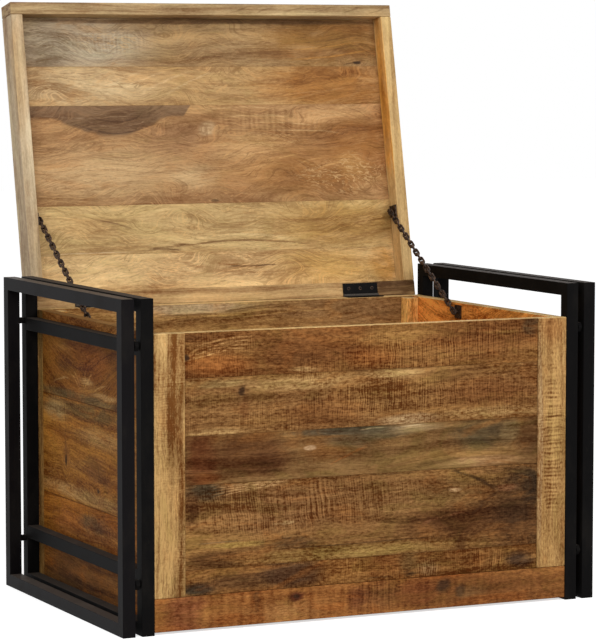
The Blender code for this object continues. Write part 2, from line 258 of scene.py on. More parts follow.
# How far one step of the seed moves the noise along each axis
SPOT_SHIFT = (7.31, 3.17, 1.73)
GROWN_SHIFT = (5.13, 2.71, 9.37)
SAW_SHIFT = (1.37, 4.19, 0.0)

GRAIN_DEPTH = 0.0007
# Widths of the dark seam line of glue and painted shade
SEAM_DARK_REACH = 0.0016
SEAM_DARK_EDGE = 0.0002


class Wood(Finish):
    """Sawn wood, laid on from its grain to its surface.

    The grain runs along the first axis named in grain and the board's width along the second. Places are in
    millimetres along and across the grain, counted from zero, and flip turns the count across round.
    """

    def __init__(self, name, grain, seed, zero, flip):
        super().__init__(name)
        along, across, deep = axes(grain)
        part = self.parts(self.place())
        self.seed = seed
        self.along = part[along] - zero[0]
        self.across = (part[across] - zero[1]) * flip
        self.deep = part[deep]
        self.flat = self.join(self.along, self.across, 0.0)
        self.spot = self.own_place(self.along, self.across, SPOT_SHIFT)

    def own_place(self, along, across, shift):
        """A place moved by the seed, so that no two boards have the same figure."""
        return self.vector("ADD", self.join(along, across, self.deep), [self.seed * part for part in shift])

    def reach(self, place, at, up, long, wide):
        """Distance from the middle of an oval spot, 1 at its rim."""
        offset = self.vector("SUBTRACT", place, (at * MM, up * MM, 0.0))
        return self.length(self.vector("MULTIPLY", offset, (1 / (long * MM), 1 / (wide * MM), 0.0)))

    def grow(self, ring, curl, sway, arch, knots):
        """Growth bands that bend and flow round the knots, and the finer marks that lie with them."""
        self.wander = self.noise(self.spot, WANDER) - 0.5
        bent = self.across + self.wander * sway
        if arch:
            middle, rise = arch
            offset = self.along - middle * MM
            bent = bent + offset * offset * rise
        self.knots = [self.reach(self.flat, *knot) for knot in knots]
        for reach, (_, up, _, wide) in zip(self.knots, knots):
            bent = bent + (reach * (wide * MM) + up * MM - bent) * self.step(reach, 4.5, 0.9)
        self.grown = self.own_place(self.along, bent, GROWN_SHIFT)
        self.bands = self.noise(self.grown, (BAND_LENGTHWISE, ring, BAND_DEEP), 4.0, 0.62, curl) - 0.5
        self.fibres = self.noise(self.grown, FIBRES, 3.0, 0.65) - 0.5
        self.flecks = self.noise(self.spot, FLECKS, 4.0, 0.72) - 0.5
        self.clouds = self.noise(self.spot, CLOUDS, 4.0, 0.6) - 0.5
        self.smear = self.noise(self.spot, SMEARS, 5.0, 0.62, 1.2)
        self.pores = self.step(self.noise(self.grown, PORES, 0.0), 0.60, 0.74)
        self.lines = self.step(abs(self.noise(self.grown, LINES, 3.0, 0.55) - 0.52), 0.030, 0.004)

    def saw_cut(self, saw, tilt, sawn):
        """Cross-cut marks in patches all over and in the sawn spots."""
        lean = self.along + self.across * tilt
        leaning = self.own_place(lean, self.across, SAW_SHIFT)
        wobble = self.noise(leaning, SAW_WOBBLE, 1.0) * 0.012

        def marks(count):
            waves = self.sum("SINE", (lean + wobble) * (2 * math.pi * count))
            uneven = self.noise(leaning, (count * 1.2, 11.0, 12.0), 3.0, 0.62) - 0.5
            return waves * 0.10 + uneven

        patches = self.step(self.noise(self.spot, SAWN_PATCHES), 0.42, 0.62)
        self.cuts = marks(SAW_MARKS) * patches * saw
        for *spot, force, count in sawn:
            near = self.reach(self.flat, *spot) + self.clouds + self.flecks
            self.cuts = self.cuts + marks(count) * self.step(near, 1.2, 0.5, force)

    def lay_ground(self, base, warm, lining):
        """The board's own colour with warmer patches, and a brighter colour of painted light on the face
        inside the box, if it has one.
        """
        warmth = self.step(self.noise(self.spot, WARM_PATCHES, 3.0), 0.46, 0.70, 0.5)
        self.body = self.mix(warmth, srgb(*base), srgb(*warm))
        # The face inside the box gets a brighter colour: painted light falling on it
        if lining:
            core, colour = lining
            shaded = [part * shade for part, shade in zip(srgb(*colour), LIT_INSIDE_SHADE)]
            inward = self.step(self.deep, core + 2 * MM, core - 2 * MM)
            self.body = self.mix(inward, self.body, self.mix(warmth, srgb(*colour), shaded))

    def roughen_marks(self):
        """What makes the rims of stains and streaks ragged, broken and wavy."""
        self.ragged = (self.bands * 0.9 + self.clouds * 0.9 + self.fibres * 0.7 + self.flecks * 0.8
                       + self.cuts * 0.6)
        self.broken = self.step(self.smear, 0.30, 0.52, low=0.45)
        self.frayed = self.step(self.flecks + self.fibres, -0.28, 0.10, low=0.25)
        drift = self.join(self.clouds * 0.05, self.bands * 0.012 + self.wander * 0.012, 0.0)
        self.flow = self.vector("ADD", self.flat, drift)
        self.flow_along, self.flow_across, _ = self.parts(self.flow)

    def heartwood(self, end, edge, dip_at, dip_half, dip, colour, strength):
        """A tongue of heartwood up to the board's side, sawn off at one end."""
        beside = abs(self.flow_along - dip_at * MM)
        fall = self.step(beside, dip_half * MM, 0.1 * dip_half * MM, dip * MM)
        depth = self.flow_across + self.wander * 0.015 + self.ragged * 0.006 - (edge * MM - fall)
        slant = self.along - (self.across - edge * MM) * 0.8 + self.ragged * 0.003
        sawn_end = self.step(slant, (end + 2) * MM, (end - 2) * MM, strength)
        self.body = self.mix(self.step(depth, -0.002, 0.004) * sawn_end, self.body, srgb(*colour))

    def stain(self, at, up, long, wide, colour, strength, soft=0.5):
        near = self.reach(self.flow, at, up, long, wide) + self.ragged * soft
        share = self.step(near, 1 + soft, 1 - soft, strength)
        self.body = self.mix(share * self.broken, self.body, srgb(*colour))

    def stroke(self, from_along, from_across, to_along, to_across, rise, width, colour, strength):
        """A streak from one place to another, which rises in its middle."""
        half = (to_along - from_along) / 2 * MM
        offset = (self.flow_along - (to_along + from_along) / 2 * MM) * (1 / half)
        middle = (to_across + from_across) / 2 + rise
        streak = offset * ((to_across - from_across) / 2 * MM) + middle * MM - offset * offset * (rise * MM)
        beside = abs(self.flow_across - streak) + self.ragged * (width * 0.9 * MM)
        share = self.step(beside, width * MM, width * 0.15 * MM)
        share = share * self.step(abs(offset) + self.ragged * 0.6, 1.0, 0.55, strength)
        self.body = self.mix(share * self.frayed, self.body, srgb(*colour))

    def cast(self, mottle):
        """Olive and red casts in smears."""
        for start, stop, shade in ((0.50, 0.64, OLIVE_CAST), (0.47, 0.34, RED_CAST)):
            share = self.step(self.smear, start, stop, mottle)
            self.body = self.mix(share, self.body, self.dye(self.body, shade))

    def shade(self, band, fibre, grit, cloud):
        """Light and dark grain over the ground."""
        self.tone = (0.5 + self.bands * (1.6 * band) + self.fibres * (1.3 * fibre)
                     + self.flecks * (1.7 * grit) + self.clouds * (1.5 * cloud) + self.cuts * 2.2)
        self.colour = self.dye(self.body, self.mix(self.tone, DARK_GRAIN, PALE_GRAIN))

    def over(self, share, shade):
        """Lay a shade of the ground over the grain."""
        self.colour = self.mix(share, self.colour, self.dye(self.body, shade))

    def wavy_lines(self, figure):
        eddy = self.noise(self.spot, EDDIES, 1.0) - 0.5
        curled = self.vector("ADD", self.grown, self.join(0.0, eddy * 0.09, 0.0))
        curls = self.noise(curled, CURLS, 4.0, 0.6, 1.0)
        self.over(self.step(abs(curls - 0.45), 0.030, 0.004, figure), PALE_CURL)
        self.over(self.step(abs(curls - 0.56), 0.026, 0.004, figure), DARK_CURL)

    def fleck(self, at, up, long, wide, strength):
        near = self.reach(self.flow, at, up, long, wide) + self.clouds * 1.3
        share = self.step(near, 1.2, 0.4, strength)
        ticks = self.step(self.noise(self.grown, PALE_TICKS, 3.0, 0.65, 1.5), 0.51, 0.63)
        self.colour = self.mix(share * ticks, self.colour, srgb(*PALE_FLECK))

    # Dark lines along the board's two edges: glue in the joints, and painted shade in the seam grooves
    def darken_seams(self, first, second, seam):
        half = abs(second - first) / 2 * MM
        off_centre = abs(self.across - (first + second) / 2 * MM) + self.clouds * 0.0012
        self.over(self.step(off_centre, half - SEAM_DARK_REACH, half - SEAM_DARK_EDGE, seam), SEAM_GLUE_AND_SHADE)

    # Faces that look up get a paler colour: partly planed wood, partly painted light falling from above
    def paint_planed_lit_top(self, colour):
        grain = self.mix(self.tone, DARK_TOP, PALE_TOP)
        share = self.step(self.upward(), 0.35, 0.75)
        self.colour = self.mix(share, self.colour, self.dye(grain, srgb(*colour)))

    def finished(self, gloss, sheen):
        rough = (gloss + self.bands * 0.14 - self.fibres * 0.12 + self.flecks * 0.15 + self.cuts * 0.3
                 + self.pores * 0.1)
        height = (self.bands * 0.4 + self.fibres * 0.5 + self.flecks * 0.5 + self.cuts * 2.0
                  - self.pores * 0.5 - self.lines * 0.3)
        return self.surface(Base_Color=self.colour, Roughness=rough,
                            Normal=self.bump(height, GRAIN_DEPTH, 0.5), Specular_IOR_Level=sheen)


def wood(name, grain, base, seed, zero=(0.0, 0.0), flip=1, edges=None, ring=70.0, curl=0.0, figure=0.0,
         sway=0.05, arch=None, band=1.0, fibre=1.0, grit=1.0, cloud=1.0, line=1.0, pore=1.0, mottle=0.6,
         scuff=0.25, seam=0.6, saw=0.0, tilt=0.0, sawn=(), flecked=(), stains=(), strokes=(), knots=(),
         heart=None, warm=HONEY, top=None, lining=None, gloss=0.55, sheen=0.06):
    """The finish of a sawn board.

    ring: growth bands in a metre, which curl, sway and arch (middle along, rise).
    band, fibre, grit, cloud, line, pore: how much each kind of grain shows. figure: crisp wavy lines.
    mottle: olive and red casts. scuff: pale rubbed flecks. seam: dark glue and painted shade in the seams at
    the two edges.
    saw: cross-cut marks all over, leaning by tilt. warm: colour of warmer patches.
    knots: (along, across, half length, half width). The next three go on from the same four:
    sawn: force, marks in a metre. flecked: strength. stains: colour, strength, softness if not 0.5.
    strokes: (from along, from across, to along, to across, rise in the middle, width, colour, strength).
    heart: (end along, edge across, dip along, dip half length, dip depth, colour, strength).
    top: colour of faces that look up, planed wood painted paler with light from above.
    lining: (place of the board's core, colour) of the face inside, brighter with painted light.
    """
    plank = Wood(name, grain, seed, zero, flip)
    plank.grow(ring, curl, sway, arch, knots)
    plank.saw_cut(saw, tilt, sawn)
    plank.lay_ground(base, warm, lining)
    plank.roughen_marks()
    if heart:
        plank.heartwood(*heart)
    for mark in stains:
        plank.stain(*mark)
    for mark in strokes:
        plank.stroke(*mark)
    plank.cast(mottle)
    plank.shade(band, fibre, grit, cloud)
    plank.over(plank.lines * (0.34 * line), DARK_LINE)
    plank.over(plank.pores * (0.4 * pore), OPEN_PORE)
    if figure:
        plank.wavy_lines(figure)
    if scuff:
        rubbed = plank.noise(plank.spot, SCUFFS, 2.0, 0.6)
        plank.over(plank.step(rubbed, 0.62, 0.74, scuff), SCUFFED)
    for mark in flecked:
        plank.fleck(*mark)
    for reach in plank.knots:
        core = plank.step(reach + plank.ragged * 0.5, 1.25, 0.55, 0.9)
        plank.colour = plank.mix(core, plank.colour, srgb(*KNOT))
    if edges:
        plank.darken_seams(*edges, seam)
    if top:
        plank.paint_planed_lit_top(top)
    return plank.finished(gloss, sheen)


def board_woods(name, grain, seams, looks, seed, free_edge=0, zero=(0.0, 0.0), flip=1, **shared):
    """A finish for each board of a glued panel. free_edge: millimetres off the first edge, without the dark
    seam line.
    """
    finishes = []
    for i, look in enumerate(looks):
        edges = [(seam - zero[1]) * flip / MM for seam in seams[i:i + 2]]
        edges[0] += free_edge if i == 0 else 0
        finishes.append(wood(f"{name} {i + 1}", grain, seed=seed + i, zero=zero, flip=flip, edges=edges,
                             **{**shared, **look}))
    return finishes


# Paint and steel

SCUFFED_PAINT = (44, 40, 36)
# Pale colour on faces that look up: dust, and painted sheen of light from above
DUST_AND_SHEEN = (112, 101, 92)
# Pale steel about the hinge pin: worn steel and a painted highlight
PALE_WORN_STEEL_HIGHLIGHT = (150, 140, 128)
BROWNED = (40, 28, 21)
RUBBED_BROWN = (104, 76, 54)
ORANGE_PEEL = (800.0, 800.0, 800.0)
PAINT_DUST = (16.0, 16.0, 9.0)
PAINT_SCUFFS = (150.0, 150.0, 45.0)
STEEL_RUBS = (260.0, 260.0, 260.0)
STEEL_PITS = (1400.0, 1400.0, 1400.0)
PEEL_DEPTH = 0.00015
PIT_DEPTH = 0.0001
PAINT_SHEEN = 0.03


def powder_coat(name, colour, gloss, top_dust_and_sheen=0.0, rubbed=0.0):
    """Satin black paint with a fine orange-peel skin, scuffed in places.

    top_dust_and_sheen: how much dust and painted sheen lie on faces that look up. rubbed: reach of the pale
    band about the hinge pin, worn steel and painted highlight.
    """
    paint = Finish(name)
    place = paint.place()
    peel = paint.noise(place, ORANGE_PEEL, 1.0)
    dust = paint.step(paint.noise(place, PAINT_DUST, 5.0, 0.65), 0.45, 0.75)
    scuff = paint.step(paint.noise(place, PAINT_SCUFFS, 3.0, 0.7), 0.60, 0.76)
    shade = paint.mix(dust * 0.30 + scuff * 0.25, srgb(*colour), srgb(*SCUFFED_PAINT))
    if top_dust_and_sheen:
        # Faces that look up turn pale: dust, and painted sheen of light from above
        dust_and_sheen_share = paint.step(paint.upward(), 0.75, 0.98, top_dust_and_sheen) * (0.7 + dust * 0.3)
        shade = paint.mix(dust_and_sheen_share, shade, srgb(*DUST_AND_SHEEN))
    # Pale band about the hinge pin: worn steel, and a painted highlight along the knuckles
    if rubbed:
        offset = paint.vector("SUBTRACT", place, tuple(HINGE))
        from_pin = paint.length(paint.vector("MULTIPLY", offset, (0.0, 1.0, 1.0)))
        wear_and_highlight = paint.step(from_pin, rubbed, rubbed * 0.9) * (0.22 + scuff * 0.3)
        shade = paint.mix(wear_and_highlight, shade, srgb(*PALE_WORN_STEEL_HIGHLIGHT))
    return paint.surface(Base_Color=shade, Roughness=gloss + dust * 0.12 + scuff * 0.10,
                         Normal=paint.bump(peel, PEEL_DEPTH, 0.35), Specular_IOR_Level=PAINT_SHEEN)


def browned_steel(name):
    """Dark browned steel, rubbed lighter where it wears."""
    steel = Finish(name)
    place = steel.place()
    rub = steel.step(steel.noise(place, STEEL_RUBS, 4.0, 0.6), 0.42, 0.70)
    pits = steel.noise(place, STEEL_PITS)
    shade = steel.mix(rub, srgb(*BROWNED), srgb(*RUBBED_BROWN))
    return steel.surface(Base_Color=shade, Metallic=0.6, Roughness=0.55 - rub * 0.14,
                         Normal=steel.bump(pits, PIT_DEPTH, 0.4))


# Shapes


def add_object(name, data):
    """Put an object in the scene."""
    added = bpy.data.objects.new(name, data)
    bpy.context.scene.collection.objects.link(added)
    return added


def keep(name, bm, materials, body, place=None, replaces=(), smooth=False):
    """Turn a bmesh into a piece that rides on a body and stands for the nodes it replaces."""
    mesh = bpy.data.meshes.new(name)
    bmesh.ops.recalc_face_normals(bm, faces=bm.faces)
    bm.to_mesh(mesh)
    bm.free()
    for material in materials:
        mesh.materials.append(material)
    if smooth:
        mesh.shade_smooth()
    piece = add_object(name, mesh)
    if place:
        piece.matrix_world = place
    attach(piece, body)
    if replaces:
        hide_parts(*replaces)


def paint_node(node, material):
    """Give a node that is shown as it is a finish."""
    materials = frame["nodes"][node].data.materials
    materials.clear()
    materials.append(material)


def add_board(bm, low, high, ease, slot=0):
    """A board with softly rounded edges."""
    middle = Matrix.Translation((low + high) / 2) @ Matrix.Diagonal((*(high - low), 1))
    one = bmesh.new()
    bmesh.ops.create_cube(one, size=1.0, matrix=middle)
    bmesh.ops.bevel(one, geom=one.edges[:], offset=ease, segments=3, profile=0.5, affect="EDGES")
    copies = {vert: bm.verts.new(vert.co) for vert in one.verts}
    for face in one.faces:
        bm.faces.new([copies[vert] for vert in face.verts]).material_index = slot
    one.free()


def board(node, material, body="chest", box=None, place=None, ease=0.0012):
    """One board standing for one node."""
    bm = bmesh.new()
    add_board(bm, *(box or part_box(node)), ease)
    keep(node + "_board", bm, [material], body, place, [node])


def glued_panel(node, box, grain, seams, materials, body="chest", place=None, uneven=0.00012,
                stile=0.0, ease=0.0005):
    """A panel of edge-glued boards as one solid, with a fine groove at each seam on both faces.

    seams are the board edges across the grain, from one side of the panel to the other. A stile's width puts
    an upright of the last material at both ends.
    """
    low, high = (corner.copy() for corner in box)
    along, across, deep = axes(grain)
    bm = bmesh.new()
    if stile:
        for start, stop in ((low[along], low[along] + stile), (high[along] - stile, high[along])):
            ends = low.copy(), high.copy()
            ends[0][along], ends[1][along] = start, stop
            add_board(bm, *ends, ease, len(materials) - 1)
        low[along] += stile + ease / 5
        high[along] -= stile + ease / 5

    def point(at, up, depth):
        where = [0.0, 0.0, 0.0]
        where[along], where[across], where[deep] = at, up, depth
        return bm.verts.new(where)

    def groove(up):
        return [[point(at, up, depth) for depth in (low[deep] + ease, high[deep] - ease)]
                for at in (low[along], high[along])]

    def face_corners(start, stop, dip):
        return [[[point(at, up, depth) for up in (start, stop)]
                 for depth in (low[deep] + dip, high[deep] - dip)] for at in (low[along], high[along])]

    grooves = [groove(up) for up in seams]
    turn = 1 if seams[-1] > seams[0] else -1
    for i, (first, last) in enumerate(zip(grooves, grooves[1:])):
        dip = uneven * (0.5 + 0.5 * math.sin(12.9 * i + 4.0 * len(seams)))
        inner = face_corners(seams[i] + turn * ease, seams[i + 1] - turn * ease, dip)
        faces = []
        for side in range(2):
            faces.append((inner[0][side][0], inner[0][side][1], inner[1][side][1], inner[1][side][0]))
            faces.append((first[0][side], inner[0][side][0], inner[1][side][0], first[1][side]))
            faces.append((inner[0][side][1], last[0][side], last[1][side], inner[1][side][1]))
        for end in range(2):
            faces.append((first[end][0], inner[end][0][0], inner[end][0][1], last[end][0],
                          last[end][1], inner[end][1][1], inner[end][1][0], first[end][1]))
        for corners in faces:
            bm.faces.new(corners).material_index = i
    for i in (0, len(seams) - 1):
        face = bm.faces.new((grooves[i][0][0], grooves[i][0][1], grooves[i][1][1], grooves[i][1][0]))
        face.material_index = min(i, len(seams) - 2)
    keep(node + "_boards", bm, materials, body, place, [node])


def skin(bm, loops):
    """Faces between loops of corners, from each to the next and from the last to the first."""
    for i, loop in enumerate(loops):
        after = loops[(i + 1) % len(loops)]
        for j in range(len(loop)):
            k = (j + 1) % len(loop)
            bm.faces.new((loop[j], loop[k], after[k], after[j]))


TUBE_CORNER = 0.0007
CORNER_STEPS = 4


def tube_outline(half):
    """Outline of a square tube with rounded corners."""
    points = []
    inset = half - TUBE_CORNER
    for quarter in range(4):
        middle = math.radians(45 + 90 * quarter)
        centre = Vector((math.copysign(inset, math.cos(middle)), math.copysign(inset, math.sin(middle))))
        for step in range(CORNER_STEPS + 1):
            angle = math.radians(90 * quarter + 90 * step / CORNER_STEPS)
            points.append(centre + Vector((math.cos(angle), math.sin(angle))) * TUBE_CORNER)
    return points


def end_frame(which, side, material):
    """One welded frame: a square tube mitred round its four corners."""
    parts = ("front_post", "rear_post", "top_rail", "bottom_rail")
    nodes = [f"{which}_frame_{side}_{part}" for part in parts]
    low, high = span([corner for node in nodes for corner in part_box(node)])
    half = (high.x - low.x) / 2
    centre = (low + high) / 2
    reach_y, reach_z = (high.y - low.y) / 2 - half, (high.z - low.z) / 2 - half
    outline = tube_outline(half)
    bm = bmesh.new()
    mitres = []
    for y, z in ((-1, -1), (1, -1), (1, 1), (-1, 1)):
        mitres.append([bm.verts.new((centre.x + a, centre.y + y * (reach_y + b),
                                     centre.z + z * (reach_z + b))) for a, b in outline])
    skin(bm, mitres)
    keep(f"{which}_frame_{side}_welded", bm, [material], "chest", None, nodes)


LINK_WIRE = 0.0018
LINK_BEND = 0.0032
BEND_STEPS = 8
WIRE_SIDES = 10


def add_link(bm, centre, direction, pitch, lean):
    """An oval wire link that leans to one side or the other of the chain's swing."""
    straight = (pitch / 2 + LINK_WIRE) - LINK_BEND
    across = Vector((1, 0, 0))
    normal = (across + direction.cross(across) * lean).normalized()
    side = direction.cross(normal)
    path = []
    for end in (1, -1):
        for step in range(BEND_STEPS + 1):
            angle = math.radians(-90 + 180 * step / BEND_STEPS)
            path.append((end * (straight + LINK_BEND * math.cos(angle)), end * LINK_BEND * math.sin(angle)))
    turns = [math.radians(360 / WIRE_SIDES * k) for k in range(WIRE_SIDES)]
    loops = []
    for i, (length, width) in enumerate(path):
        before, after = path[i - 1], path[(i + 1) % len(path)]
        tangent = (direction * (after[0] - before[0]) + side * (after[1] - before[1])).normalized()
        outward = normal.cross(tangent)
        middle = centre + direction * length + side * width
        loops.append([bm.verts.new(middle + (outward * math.cos(a) + normal * math.sin(a)) * LINK_WIRE)
                      for a in turns])
    skin(bm, loops)


SCREW_RINGS = 8
BRIGHT_RINGS = 4
SCREW_STEPS = 32
SCREW_RADIUS = 0.0029
SCREW_HEIGHT = 0.0001
SCREW_SUNK = 0.0003
RECESS_HEIGHT = 0.00003
RECESS_HALF = 0.0004
RECESS_REACH = 0.0019


def add_screw(bm, place):
    """A nearly flush screw head with a bright rim and a dark crossed recess, facing up in its place."""
    angles = [2 * math.pi * step / SCREW_STEPS for step in range(SCREW_STEPS)]
    rows = []
    for ring in range(1, SCREW_RINGS + 1):
        reach = SCREW_RADIUS * ring / SCREW_RINGS
        row = []
        for angle in angles:
            x, y = reach * math.cos(angle), reach * math.sin(angle)
            crossed = min(abs(x), abs(y)) < RECESS_HALF and reach < RECESS_REACH
            z = RECESS_HEIGHT if crossed else SCREW_HEIGHT * (1 - (ring / SCREW_RINGS) ** 4)
            row.append(bm.verts.new(place @ Vector((x, y, z))))
        rows.append(row)
    rows.append([bm.verts.new(place @ Vector((SCREW_RADIUS * math.cos(angle), SCREW_RADIUS * math.sin(angle),
                                              -SCREW_SUNK))) for angle in angles])
    bm.faces.new(rows[-1])
    middle = bm.verts.new(place @ Vector((0, 0, RECESS_HEIGHT)))
    for step in range(SCREW_STEPS):
        after = (step + 1) % SCREW_STEPS
        bm.faces.new((middle, rows[0][step], rows[0][after])).material_index = 1
        for ring, (inner, outer) in enumerate(zip(rows, rows[1:])):
            face = bm.faces.new((inner[step], outer[step], outer[after], inner[after]))
            face.material_index = 0 if ring >= SCREW_RINGS - BRIGHT_RINGS else 1


# Camera and studio

SENSOR = 36.0
PHOTO_HEIGHT = 640.0
FOCAL_PIXELS = 3012.9
CAMERA_PLACE = (-2.0368, -4.3120 + MIDDLE, 0.8486)
CAMERA_DROP = 4.95
CAMERA_TURN = -25.325
WHITE = (1.0, 1.0, 1.0)
SOFT_LIGHT = 0.52
FLOOR_HALF = 14.0
FLOOR_GREY = (0.80, 0.80, 0.80)
FLOOR_GLOW = (0.62, 0.62, 0.62)

scene = bpy.context.scene
scene.view_settings.view_transform = "Standard"

camera_data = bpy.data.cameras.new("camera")
camera_data.sensor_width = SENSOR
camera_data.lens = FOCAL_PIXELS * SENSOR / PHOTO_HEIGHT
camera = add_object("camera", camera_data)
camera.location = CAMERA_PLACE
camera.rotation_euler = (math.radians(90 - CAMERA_DROP), 0.0, math.radians(CAMERA_TURN))
scene.camera = camera


def softbox(name, place, target, size, power):
    """A round soft lamp that looks at its target."""
    data = bpy.data.lights.new(name, "AREA")
    data.shape = "DISK"
    data.size = size
    data.energy = power
    light = add_object(name, data)
    light.location = place
    light.rotation_euler = (Vector(target) - Vector(place)).to_track_quat("-Z", "Y").to_euler()


def white_surround():
    """A world that looks white and lights softly."""
    world = bpy.data.worlds.new("studio")
    scene.world = world
    world.use_nodes = True
    sky = Nodes(world.node_tree)
    soft_light = sky.node("Background", {}, {"Color": WHITE, "Strength": SOFT_LIGHT})
    white = sky.node("Background", {}, {"Color": WHITE, "Strength": 1.0})
    shown = sky.node("MixShader", {}, {0: sky.seen(), 1: soft_light, 2: white})
    sky.put(sky.tree.nodes["World Output"].inputs["Surface"], shown)


def pale_floor():
    """A floor that fades into the surround and keeps the chest's shadow."""
    mesh = bpy.data.meshes.new("floor")
    bm = bmesh.new()
    bmesh.ops.create_grid(bm, x_segments=1, y_segments=1, size=FLOOR_HALF)
    bm.to_mesh(mesh)
    bm.free()
    floor = add_object("floor", mesh)
    pale = Finish("pale floor")
    glow = pale.mix(pale.seen(), (0.0, 0.0, 0.0), FLOOR_GLOW)
    mesh.materials.append(pale.surface(Base_Color=FLOOR_GREY, Roughness=0.9, Specular_IOR_Level=0.0,
                                       Emission_Color=glow, Emission_Strength=1.0))


white_surround()
pale_floor()
softbox("key light", place=(-2.6, -3.0, 3.2), target=(0.0, 0.0, 0.4), size=2.4, power=80.0)
softbox("fill light", place=(1.2, -3.6, 2.4), target=(0.0, 0.0, 0.5), size=2.0, power=55.0)

# Steel frames and hinges

# On the frames, the pale on faces that look up is dust and painted sheen
black_coat = powder_coat("black powder coat", (13, 12, 12), 0.55, top_dust_and_sheen=0.35)
# The left outer frame gets a stronger pale top: dust and painted sheen of light from above
dusty_sheened_coat = powder_coat("black powder coat with dust and painted sheen", (19, 17, 18), 0.46, top_dust_and_sheen=0.6)
# The pale band about the hinge pin is worn steel and a painted highlight along the knuckles
hinge_enamel = powder_coat("black hinge enamel", (18, 17, 17), 0.42, rubbed=0.0033)
screw_steel = browned_steel("browned screw steel")
chain_steel = browned_steel("browned chain steel")
FINISHES = {"frame": black_coat, "hinge": hinge_enamel, "chain": chain_steel}
for node in frame["nodes"]:
    for word, finish in FINISHES.items():
        if word in node:
            paint_node(node, finish)
for side in SIDES:
    end_frame("outer", side, dusty_sheened_coat if side == "left" else black_coat)
    end_frame("inner", side, black_coat)

SCREW_PITCH = 0.022
SCREW_ROW = 0.009
LEAF_FACE = 0.00015
LEAVES = (("box", "chest", -LEAF_FACE, 1, None), ("lid", "lid", LEAF_FACE, -1, SHUT_TO_OPEN))
for side in SIDES:
    low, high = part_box(f"hinge_{side}_box_leaf")
    for leaf, body, level, up, place in LEAVES:
        bm = bmesh.new()
        for i in (-1, 0, 1):
            centre = Vector(((low.x + high.x) / 2 + i * SCREW_PITCH, low.y + SCREW_ROW, HINGE.z + level))
            add_screw(bm, Matrix.Translation(centre) @ Matrix.Diagonal((1, 1, up, 1)))
        keep(f"hinge_{side}_{leaf}_screws", bm, [screw_steel, hinge_enamel], body, place)

# Front of the box

